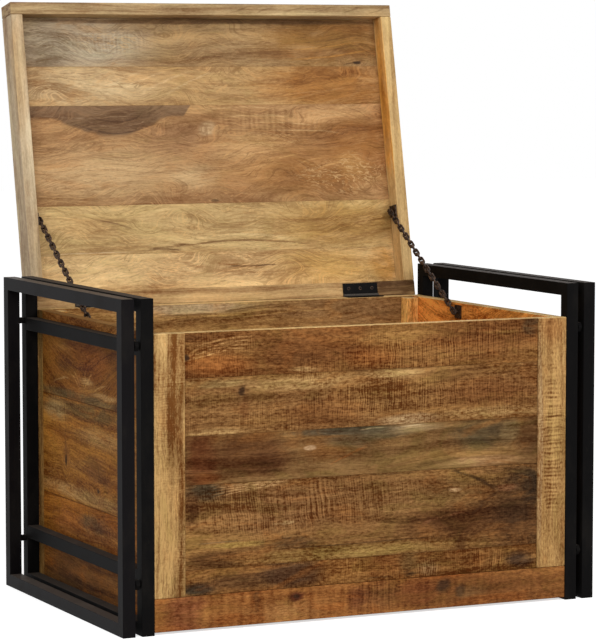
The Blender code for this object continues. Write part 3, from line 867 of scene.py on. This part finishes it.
FREE_EDGE = 10
FRONT_SEAMS = (0.379, 0.293, 0.220, 0.093)
FRONT_BOARDS = (
    dict(base=(124, 80, 41), saw=0.45, sway=0.07, top=PLANED_LIT_TOP, knots=((-296, 410, 5, 5),), stains=(
        (-250, 398, 50, 16, RUST, 0.7), (-236, 424, 60, 10, (146, 104, 58), 0.6, 0.6),
        (-80, 414, 88, 24, CHESTNUT, 0.7), (-118, 400, 34, 10, WALNUT, 0.5, 0.6),
        (-103, 385, 24, 4, STRAW, 0.7), (48, 426, 54, 17, HONEY, 0.7), (10, 400, 40, 12, RUST, 0.5, 0.6),
        (200, 415, 100, 28, CHESTNUT, 0.6, 0.6), (284, 436, 16, 13, SLATE, 0.8, 0.4),
        (165, 398, 45, 3, HONEY, 0.6), (232, 428, 34, 3, HONEY, 0.6), (-290, 440, 20, 6, WALNUT, 0.6)),
        strokes=[(-298, 400 + 7 * i, -196 + 6 * i, 419 + 6 * i, 5, 1.7, (190, 142, 86), 0.75)
                 for i in range(4)],
        sawn=((90, 400, 100, 30, 0.8, 240), (210, 412, 100, 32, 0.7, 215))),
    dict(base=(130, 90, 50), saw=0.45, stains=(
        (-245, 371, 52, 6, (146, 116, 70), 0.7, 0.4), (-94, 365, 98, 10, STRAW, 0.7),
        (55, 372, 58, 7, STRAW, 0.75, 0.4), (-68, 318, 72, 19, CHESTNUT, 0.75),
        (-202, 352, 13, 18, (112, 74, 42), 0.8, 0.6), (-202, 357, 6, 8, SOOT, 0.9),
        (-200, 328, 9, 14, CHESTNUT, 0.7, 0.6), (162, 364, 40, 12, (102, 66, 34), 0.7, 0.6),
        (-248, 298, 52, 6, STRAW, 0.65), (72, 300, 40, 9, CREAM, 0.6, 0.6), (218, 304, 80, 8, STRAW, 0.7),
        (215, 335, 88, 22, CHESTNUT, 0.85, 0.6)),
        sawn=((-30, 330, 90, 28, 0.8, 250), (100, 345, 120, 30, 0.7, 230), (225, 335, 80, 30, 0.6, 210))),
    dict(base=(118, 84, 48), saw=0.08, mottle=0.9, cloud=1.2, scuff=0.2, grit=0.8, fibre=0.45, stains=(
        (-276, 255, 26, 44, (100, 54, 28), 0.85), (-190, 262, 70, 34, (92, 56, 30), 0.9, 0.4),
        (-160, 252, 26, 20, (84, 51, 28), 0.7, 0.6), (-268, 230, 16, 7, RUST, 0.35, 0.7),
        (-92, 266, 9, 3.6, (200, 164, 122), 0.95, 0.35), (-66, 262, 36, 16, (128, 80, 38), 0.6, 0.6),
        (-30, 288, 92, 7, (78, 67, 50), 0.9, 0.4), (30, 280, 50, 9, (88, 73, 50), 0.8),
        (-26, 274, 40, 9, (100, 82, 56), 0.7, 0.6), (92, 287, 40, 6, (168, 138, 96), 0.6, 0.9),
        (202, 270, 46, 24, (82, 66, 43), 0.9, 0.6), (226, 280, 14, 12, (70, 56, 38), 0.6, 0.8),
        (250, 272, 15, 20, (120, 96, 62), 0.8, 0.4), (284, 262, 20, 36, (92, 62, 36), 0.8),
        (208, 229, 62, 7, (160, 118, 76), 0.85)),
        strokes=((-60, 236, 0, 266, 0, 3, RUST, 0.5), (-14, 287, 40, 290, 1, 1.6, PALE_SCRATCH, 0.7),
                 (40, 287, 118, 291, 1, 1.6, PALE_SCRATCH, 0.6), (150, 284, 235, 246, 0, 3.5, SLATE, 0.5))),
    dict(base=(123, 84, 46), saw=0.25, tilt=0.12, mottle=0.8, stains=(
        (-140, 175, 130, 30, (138, 96, 58), 0.5, 0.6), (-268, 208, 34, 13, (72, 60, 42), 0.9),
        (-290, 182, 10, 22, WALNUT, 0.8), (50, 175, 60, 32, (142, 102, 60), 0.5, 0.6),
        (160, 182, 66, 20, (116, 84, 46), 0.7), (180, 136, 124, 28, (82, 49, 25), 0.95),
        (155, 186, 9, 3, (190, 150, 104), 0.85, 0.6), (262, 160, 50, 58, (68, 43, 24), 0.9, 0.8),
        (292, 165, 14, 60, (42, 29, 19), 0.85, 0.8), (272, 128, 42, 30, (62, 40, 23), 0.85, 0.6),
        (280, 196, 30, 20, (60, 45, 30), 0.7, 0.6), (246, 184, 18, 5, (142, 96, 62), 0.7, 0.6),
        (-60, 103, 210, 9, (150, 114, 62), 0.8), (-205, 128, 60, 4, (146, 112, 56), 0.8),
        (-132, 126, 42, 9, (80, 55, 33), 0.8), (-250, 108, 46, 14, WALNUT, 0.85, 0.4),
        (160, 104, 12, 12, WALNUT, 0.7), (-138, 153, 16, 3, (176, 140, 92), 0.7)),
        sawn=((-170, 172, 120, 46, 0.75, 255), (-78, 188, 26, 34, 1, 130), (-20, 180, 80, 40, 0.7, 240),
              (60, 190, 60, 26, 0.4, 250)),
        strokes=[(-262, 196 + 5 * i, -108 - 6 * i, 220, 1, 1.8, (176, 134, 86), 0.75) for i in range(4)]
        + [(140, 219, 232, 178, 6, 5, (58, 37, 22), 0.9), (176, 142, 232, 178, 6, 4, (66, 42, 25), 0.7),
           (92, 134, 168, 152, 2, 2.6, (140, 92, 58), 0.6), (-290, 134, -190, 134, 0, 2, (78, 64, 48), 0.7),
           (-180, 116, 150, 115, 0, 2, SOOT, 0.7), (0, 218, 95, 217, 0, 1.6, SOOT, 0.6)]),
    dict(base=(126, 83, 42), saw=0.4, mottle=0.8, stains=(
        (-278, 63, 30, 8, (52, 43, 33), 0.9), (-210, 70, 60, 12, (80, 53, 32), 0.7, 0.6),
        (-125, 75, 50, 19, (78, 52, 34), 0.9, 0.4), (-38, 74, 42, 17, (150, 102, 52), 0.7),
        (32, 75, 34, 17, (130, 80, 39), 0.7), (75, 76, 13, 22, (98, 74, 42), 0.6, 0.7),
        (76, 61, 10, 6, SOOT, 0.8), (106, 66, 14, 9, (142, 110, 74), 0.55, 0.7),
        (212, 76, 36, 14, (132, 90, 48), 0.5, 0.6), (268, 68, 26, 12, (60, 42, 31), 0.9)),
        sawn=((215, 76, 40, 16, 0.8, 230), (106, 68, 20, 14, 0.8, 260)),
        strokes=((-290, 60, -165, 82, 2, 3, WALNUT, 0.7), (0, 57, 45, 57, 0, 1.6, SOOT, 0.7))),
)
ROUGH_SAWN = dict(fibre=0.6, grit=1.45, seam=0.35, sheen=0.03)
low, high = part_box("front_panel")
seams = (high.z, *FRONT_SEAMS, low.z)
materials = board_woods("front board", "xz", seams, FRONT_BOARDS, 1.7, FREE_EDGE, **ROUGH_SAWN)
glued_panel("front_panel", (low, high), "xz", seams, materials, ease=0.0003)

STILE = dict(saw=0.3, warm=STRAW, mottle=0.5, top=PLANED_LIT_TOP)
left_stile = wood(
    "left stile", "zx", (162, 123, 74), 11.0, sway=0.03, fibre=0.5, line=0.5, band=1.7, cloud=1.7,
    stains=((180, -322, 120, 24, (148, 108, 60), 0.5, 0.6), (400, -318, 64, 24, (190, 148, 92), 0.6, 0.6)),
    **STILE)
right_stile = wood(
    "right stile", "zx", (164, 122, 71), 13.0, sway=0.02, fibre=0.45, line=0.4,
    stains=((430, 325, 22, 20, RUST, 0.45, 0.6), (250, 304, 150, 5, CREAM, 0.6, 0.4)),
    sawn=((258, 326, 135, 18, 1, 160),), **STILE)
bottom_rail = wood(
    "bottom rail", "xz", (149, 95, 47), 15.0, sway=0.06, warm=RUST,
    band=0.45, fibre=0.4, line=0.3, mottle=0.8,
    sawn=((-150, 28, 260, 60, 0.34, 60), (160, 28, 240, 60, 0.26, 80), (20, 30, 60, 40, 0.4, 190)),
    stains=(
        (-300, 28, 30, 34, (136, 78, 48), 0.7), (-140, 20, 60, 14, (158, 110, 62), 0.6, 0.6),
        (-188, 40, 4, 18, (108, 68, 34), 0.8), (-16, 30, 16, 18, (106, 58, 32), 0.8, 0.6),
        (205, 28, 165, 30, CHESTNUT, 0.75, 0.6), (84, 30, 34, 22, (124, 70, 36), 0.7),
        (130, 40, 12, 10, (70, 46, 28), 0.9), (163, 30, 9, 9, (74, 48, 30), 0.9),
        (182, 26, 24, 9, (104, 74, 42), 0.6, 0.7), (24, 30, 30, 22, (106, 66, 36), 0.6, 0.6),
        (-120, 40, 12, 7, (92, 44, 26), 0.9), (-120, 40, 5, 3.5, SOOT, 0.8, 0.4)))
board("front_stile_left", left_stile)
board("front_stile_right", right_stile)
board("front_bottom_rail", bottom_rail)

# Ends, back and bottom

END_SEAMS = (0.317, 0.157)
END_STILE = 0.020
END_BOARDS = (
    dict(base=(120, 73, 27), saw=0.2, sway=0.10, arch=(60, -1.4), stains=(
        # First mark: a bright orange band along the top, painted light where the frame's top rail casts its
        # shadow
        (60, 432, 260, 16, (200, 132, 64), 0.9, 0.4), (60, 323, 190, 7, (88, 74, 46), 0.7),
        (-20, 390, 60, 20, RUST, 0.4, 0.6), (110, 372, 30, 10, WALNUT, 0.5, 0.6),
        (20, 352, 26, 5, STRAW, 0.7), (-60, 334, 60, 4, STRAW, 0.6)),
        strokes=[(40, 332, -12 + 22 * i, 374 - 4 * abs(i - 2), 4, 2.2, (180, 130, 74), 0.6)
                 for i in range(6)]
        + [(90, 350, 160, 334, 6, 2.4, STRAW, 0.6), (-70, 352, 0, 336, 4, 2.2, STRAW, 0.5)]),
    dict(base=(142, 91, 35), saw=0.3, sway=0.08, knots=((110, 218, 5, 9), (-28, 186, 6, 4)), stains=(
        (10, 304, 120, 13, (90, 74, 42), 0.7), (157, 294, 46, 14, (150, 126, 84), 0.7, 0.7),
        (-40, 266, 90, 12, STRAW, 0.5, 0.7), (40, 170, 190, 9, STRAW, 0.6),
        (-20, 212, 40, 22, CHESTNUT, 0.6, 0.6), (110, 225, 14, 18, CHESTNUT, 0.6, 0.6),
        (112, 240, 2.2, 56, WALNUT, 0.6, 0.6), (-70, 200, 18, 12, CHESTNUT, 0.5, 0.7))),
    dict(base=(138, 82, 28), saw=0.3, sway=0.08, stains=(
        (-10, 131, 60, 13, (96, 80, 54), 0.65), (110, 120, 60, 16, RUST, 0.4, 0.6),
        (60, 50, 230, 34, WALNUT, 0.7, 0.6), (60, 22, 230, 18, SOOT, 0.7, 0.6))),
)
# Colours painted on the end panels' up-facing faces, where light from above falls
END_LIT_TOPS = {"left": (160, 116, 66), "right": PLANED_LIT_TOP}
# Bright orange of the right end's inside face and stiles: painted light falling on them from the left
LIT_INSIDE_BOARD = (236, 148, 66)
LIT_INSIDE_STILE = (214, 136, 64)
for index, side in enumerate(SIDES):
    low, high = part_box(side + "_end_panel")
    core = (low.x + high.x) / 2
    seams = (high.z, *END_SEAMS, low.z)
    top_board, *lower_boards = END_BOARDS
    top_board = {**top_board, "top": END_LIT_TOPS[side]}
    stile_lit_inside = None
    # Only the right end's inside face is painted with light
    if side == "right":
        # The right end leaves out the first mark, the painted light band
        top_board.update(lining=(core, LIT_INSIDE_BOARD), stains=top_board["stains"][1:], strokes=())
        stile_lit_inside = (core, LIT_INSIDE_STILE)
    materials = board_woods(f"{side} end board", "yz", seams, (top_board, *lower_boards), 21.0 + 5 * index,
                            FREE_EDGE, zero=(MIDDLE, 0.0), fibre=0.7, sheen=0.03)
    materials.append(wood(f"{side} end stiles", "zy", (122, 90, 48), 25.5 + 5 * index, zero=(0.0, MIDDLE),
                          saw=0.3, top=END_LIT_TOPS[side], lining=stile_lit_inside, sheen=0.03))
    glued_panel(side + "_end_panel", (low, high), "yz", seams, materials, stile=END_STILE)

# Very pale wood on the corner posts: painted light that brightens them in the shaded inside corners
post_wood = wood("corner posts", "zx", (244, 178, 96), 27.0, saw=0.1, sway=0.03, warm=(232, 166, 86),
                 top=PLANED_LIT_TOP)
for side in SIDES:
    for end in ("front", "rear"):
        board(f"corner_post_{end}_{side}", post_wood)

BACK_SEAMS = (0.352, 0.255, 0.131)
BACK_BOARDS = (
    dict(base=(176, 129, 73), sway=0.09, fibre=0.6, warm=STRAW, top=PLANED_LIT_TOP, scuff=0.0, stains=(
        # Second mark: a greyed band along the top of the inside, painted soft shadow of the lid
        (200, 425, 140, 30, (146, 104, 64), 0.75), (-90, 441, 110, 9, (196, 162, 120), 0.8),
        (-90, 416, 90, 12, (146, 102, 54), 0.8), (60, 410, 120, 8, (160, 112, 60), 0.6)),
        strokes=((-170, 434, -20, 431, -3, 2.2, (104, 66, 36), 0.85),
                 (-40, 430, 70, 441, 1, 2.2, (112, 72, 38), 0.8),
                 (60, 441, 190, 441, 0, 1.8, (112, 72, 38), 0.6),
                 (-150, 421, 20, 425, 2, 2, (206, 156, 88), 0.7),
                 (-120, 415, 120, 428, 2, 1.8, (124, 84, 44), 0.6),
                 (0, 420, 180, 430, 2, 2.2, (204, 154, 88), 0.6))),
    dict(base=(134, 92, 50), saw=0.4, knots=((85, 310, 7, 6),), stains=(
        (-120, 300, 140, 22, CHESTNUT, 0.6),)),
    dict(base=(118, 78, 42), saw=0.5, stains=(
        (150, 190, 130, 30, WALNUT, 0.6), (-200, 170, 90, 20, ASH, 0.5))),
    dict(base=(128, 86, 46), saw=0.4, knots=((-210, 80, 6, 5),), stains=(
        (-60, 60, 150, 25, CHESTNUT, 0.6),)),
)
low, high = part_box("back_panel")
seams = (high.z, *BACK_SEAMS, low.z)
materials = board_woods("back board", "xz", seams, BACK_BOARDS, 31.0, FREE_EDGE)
glued_panel("back_panel", (low, high), "xz", seams, materials)

BOTTOM_SEAMS = (0.118, 0.231, 0.352)
BOTTOM_TONES = ((128, 88, 50), (118, 78, 42), (136, 96, 54), (124, 82, 45))
low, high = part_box("bottom_panel")
seams = (low.y, *(low.y + seam for seam in BOTTOM_SEAMS), high.y)
looks = [dict(base=tone) for tone in BOTTOM_TONES]
materials = board_woods("bottom board", "xy", seams, looks, 35.0, saw=0.4)
glued_panel("bottom_panel", (low, high), "xy", seams, materials)

# Lid

LID_SEAMS = (0.398, 0.332, 0.165, 0.083)
LID_BOARDS = (
    dict(base=(162, 128, 86), sway=0.12, stains=(
        # First two marks: pale grey patches at the left end, partly the wood's tone and partly painted sheen
        # of light from the left
        (-225, 438, 120, 45, (178, 161, 134), 0.8), (-285, 425, 42, 46, (150, 132, 106), 0.7),
        (225, 440, 125, 45, (130, 86, 36), 0.85), (190, 420, 135, 9, (122, 78, 40), 0.6),
        (280, 467, 50, 10, AMBER, 0.6), (-60, 462, 130, 8, (132, 104, 68), 0.5, 0.6),
        # Next mark: a thin dark band along the front edge, painted shadow under the front rim
        (0, 475, 345, 4.5, (98, 68, 40), 0.85, 0.35)),
        strokes=[(-60 + 55 * i, 412 + 7 * i, 130 + 50 * i, 404 + 10 * i, 4, 2, (120, 82, 48), 0.45)
                 for i in range(4)]
        + [(150, 408 + 18 * i, 325, 428 + 18 * i, -3, 2.4, (180, 124, 58), 0.6) for i in range(2)]
        + [(140, 417 + 18 * i, 325, 440 + 18 * i, -3, 2, (108, 72, 38), 0.55) for i in range(2)]
        + [(258, 400, 306, 409, 0, 1.8, (74, 44, 22), 0.8)],
        knots=((289, 404, 9, 3),), sawn=((-150, 437, 75, 22, 0.25, 150),),
        flecked=((-150, 440, 90, 26, 0.5),)),
    dict(base=(182, 142, 92), sway=0.13, stains=(
        (-220, 365, 130, 36, (200, 170, 126), 0.75), (230, 365, 125, 40, (158, 102, 46), 0.85)),
        strokes=[(-270 + 45 * i, 342, -150 + 45 * i, 392, 5, 3, (206, 170, 122), 0.6) for i in range(5)]
        + [(60 + 50 * i, 340, 170 + 50 * i, 352 + 4 * i, 3, 2, (196, 146, 90), 0.5) for i in range(3)]),
    dict(base=(174, 130, 84), sway=0.14, stains=(
        (-200, 220, 130, 48, (190, 154, 108), 0.75, 0.6), (-31, 210, 40, 20, CREAM, 0.65),
        (282, 265, 62, 46, (138, 84, 36), 0.75), (150, 210, 150, 30, (154, 102, 50), 0.5, 0.6),
        (-8, 292, 15, 11, (206, 172, 126), 0.85, 0.4), (-1, 168, 7, 2.5, SOOT, 0.6, 0.4),
        (210, 240, 120, 70, (138, 87, 40), 0.65, 0.6), (262, 226, 24, 20, (192, 142, 82), 0.6, 0.8),
        (-60, 275, 60, 24, (150, 108, 72), 0.6, 0.6)),
        strokes=[(-22 + 40 * i, 322 - 12 * i, 130 + 44 * i, 326 - 16 * i, 6, 2, (206, 164, 112), 0.6)
                 for i in range(4)]
        + [(10 + 46 * i, 236 - 4 * i, 70 + 52 * i, 262 - 8 * i, 5, 2.4, (196, 146, 88), 0.5)
           for i in range(5)]
        + [(-310 + 50 * i, 262 - 14 * i, -200 + 50 * i, 250 - 12 * i, 3, 1.8, (140, 104, 68), 0.45)
           for i in range(4)]
        + [(-250, 310, -95, 308, -24, 2, (84, 58, 40), 0.7),
           (-235, 316, -110, 314, -20, 1.6, (148, 116, 86), 0.6),
           (-225, 321, -120, 320, -16, 2, (88, 60, 42), 0.6),
           (-310, 318, -200, 312, -2, 1.6, (150, 120, 90), 0.5),
           (-215, 326, -130, 325, -12, 1.6, (150, 120, 90), 0.5),
           (-250, 250, -100, 232, 6, 2.2, (150, 106, 70), 0.4)],
        heart=(-46, 312, -176, 112, 31, (112, 84, 60), 0.85), sawn=((130, 302, 110, 26, 0.34, 105.0),),
        flecked=((105, 268, 90, 18, 0.6), (240, 210, 95, 36, 0.75), (262, 238, 30, 18, 0.5),
                 (-60, 195, 90, 22, 0.4))),
    dict(base=(198, 162, 107), sway=0.13, stains=(
        (230, 125, 120, 42, (176, 130, 64), 0.7, 0.6),),
        strokes=[(-216, 140, -146, 122, 2, 2.4, (122, 86, 52), 0.7),
                 (-150, 82, 215, 84, 20, 3, (116, 78, 42), 0.95),
                 (-110, 93, 172, 95, 18, 6, (214, 180, 124), 0.7)]
        + [(-60 + 16 * i, 104 + 8 * i, 150 - 12 * i, 104 + 8 * i, 12, 2.4, (172, 132, 80), 0.5)
           for i in range(5)]
        + [(-300 + 30 * i, 96 + 13 * i, -190 + 20 * i, 92 + 13 * i, 5, 2.2, (160, 122, 76), 0.5)
           for i in range(4)]
        + [(-128, 90, -68, 88, -1, 2.6, (118, 84, 52), 0.8),
           (-330, 85, -150, 85, 0, 1.4, (222, 192, 148), 0.6)]),
    dict(base=(218, 180, 122), sway=0.1, stains=(
        (306, 52, 24, 32, (192, 130, 56), 0.75), (200, 50, 110, 30, (196, 146, 74), 0.7, 0.6),
        (-210, 50, 120, 30, (204, 166, 114), 0.6, 0.6), (0, 52, 110, 28, (228, 188, 132), 0.6, 0.6)),
        strokes=[(6, 56, 112, 55, 0, 1.8, (92, 58, 34), 1)]
        + [(-120 + 60 * i, 40 + 6 * i, 60 + 60 * i, 44 + 4 * i, 6, 2.4, (190, 146, 92), 0.4)
           for i in range(4)]),
)
LACQUERED = dict(warm=STRAW, gloss=0.44, sheen=0.08, fibre=0.4, grit=0.4, pore=0.3, cloud=0.8, line=0.3,
                 mottle=0.3)
low, high = shut_box("lid_panel")
seams = (low.y, *(BOX_BACK - seam for seam in LID_SEAMS), high.y)
materials = board_woods("lid board", "xy", seams, LID_BOARDS, 61.0, zero=(0.0, BOX_BACK), flip=-1, band=0.8,
                        seam=0.1, ring=30.0, curl=0.9, figure=0.55, scuff=0.1, **LACQUERED)
glued_panel("lid_panel", (low, high), "xy", seams, materials, "lid", SHUT_TO_OPEN, ease=0.00025)

RIMS = {
    "front": dict(
        grain="xy", base=(170, 139, 97), zero=(0.0, BOX_BACK), flip=-1, band=1.7,
        strokes=[(-60, 501, 345, 502, 0, 2.2, (104, 76, 46), 0.8),
                 (-330, 484, -40, 487, 2, 1.8, (136, 104, 66), 0.6)]
        + [(40 + 52 * i, 486, 84 + 52 * i, 497, 0, 1.6, (118, 88, 54), 0.6) for i in range(6)]),
    "left": dict(grain="yx", base=(182, 156, 121)),
    # Orange band along the inner edge: painted light falling on the rim's inner face
    "right": dict(grain="yx", base=(196, 158, 103), stains=((0, 324, 320, 5, (216, 146, 60), 0.85, 0.3),)),
    "back": dict(
        grain="xz", base=(192, 154, 102), zero=(0.0, HINGE.z),
        stains=((310, 10, 62, 30, (84, 54, 30), 0.95),)),
}
for i, (where, look) in enumerate(RIMS.items()):
    node = f"lid_{where}_rim"
    material = wood(f"{where} rim", seed=51.0 + i, sway=0.03, scuff=0.15, **LACQUERED, **look)
    if where == "back":
        paint_node(node, material)
    else:
        board(node, material, "lid", shut_box(node), SHUT_TO_OPEN)

# Stay chains

LINKS = 25
LOWER_LINKS = 13
SEAT = 0.0026
for side in SIDES:
    start, stop = (Vector(JOINTS[f"chain_{side}_{end}_pivot"]["pos_m"]) for end in ("box", "lid"))
    direction = (stop - start).normalized()
    pitch = ((stop - start).length + 2 * SEAT) / LINKS
    for half, first, last in (("lower", 0, LOWER_LINKS), ("upper", LOWER_LINKS, LINKS)):
        bm = bmesh.new()
        for link in range(first, last):
            add_link(bm, start + direction * (pitch * (link + 0.5) - SEAT), direction, pitch, (-1) ** link)
        body = f"chain_{side}_{half}"
        keep(body + "_links", bm, [chain_steel], body, None, [body], smooth=True)
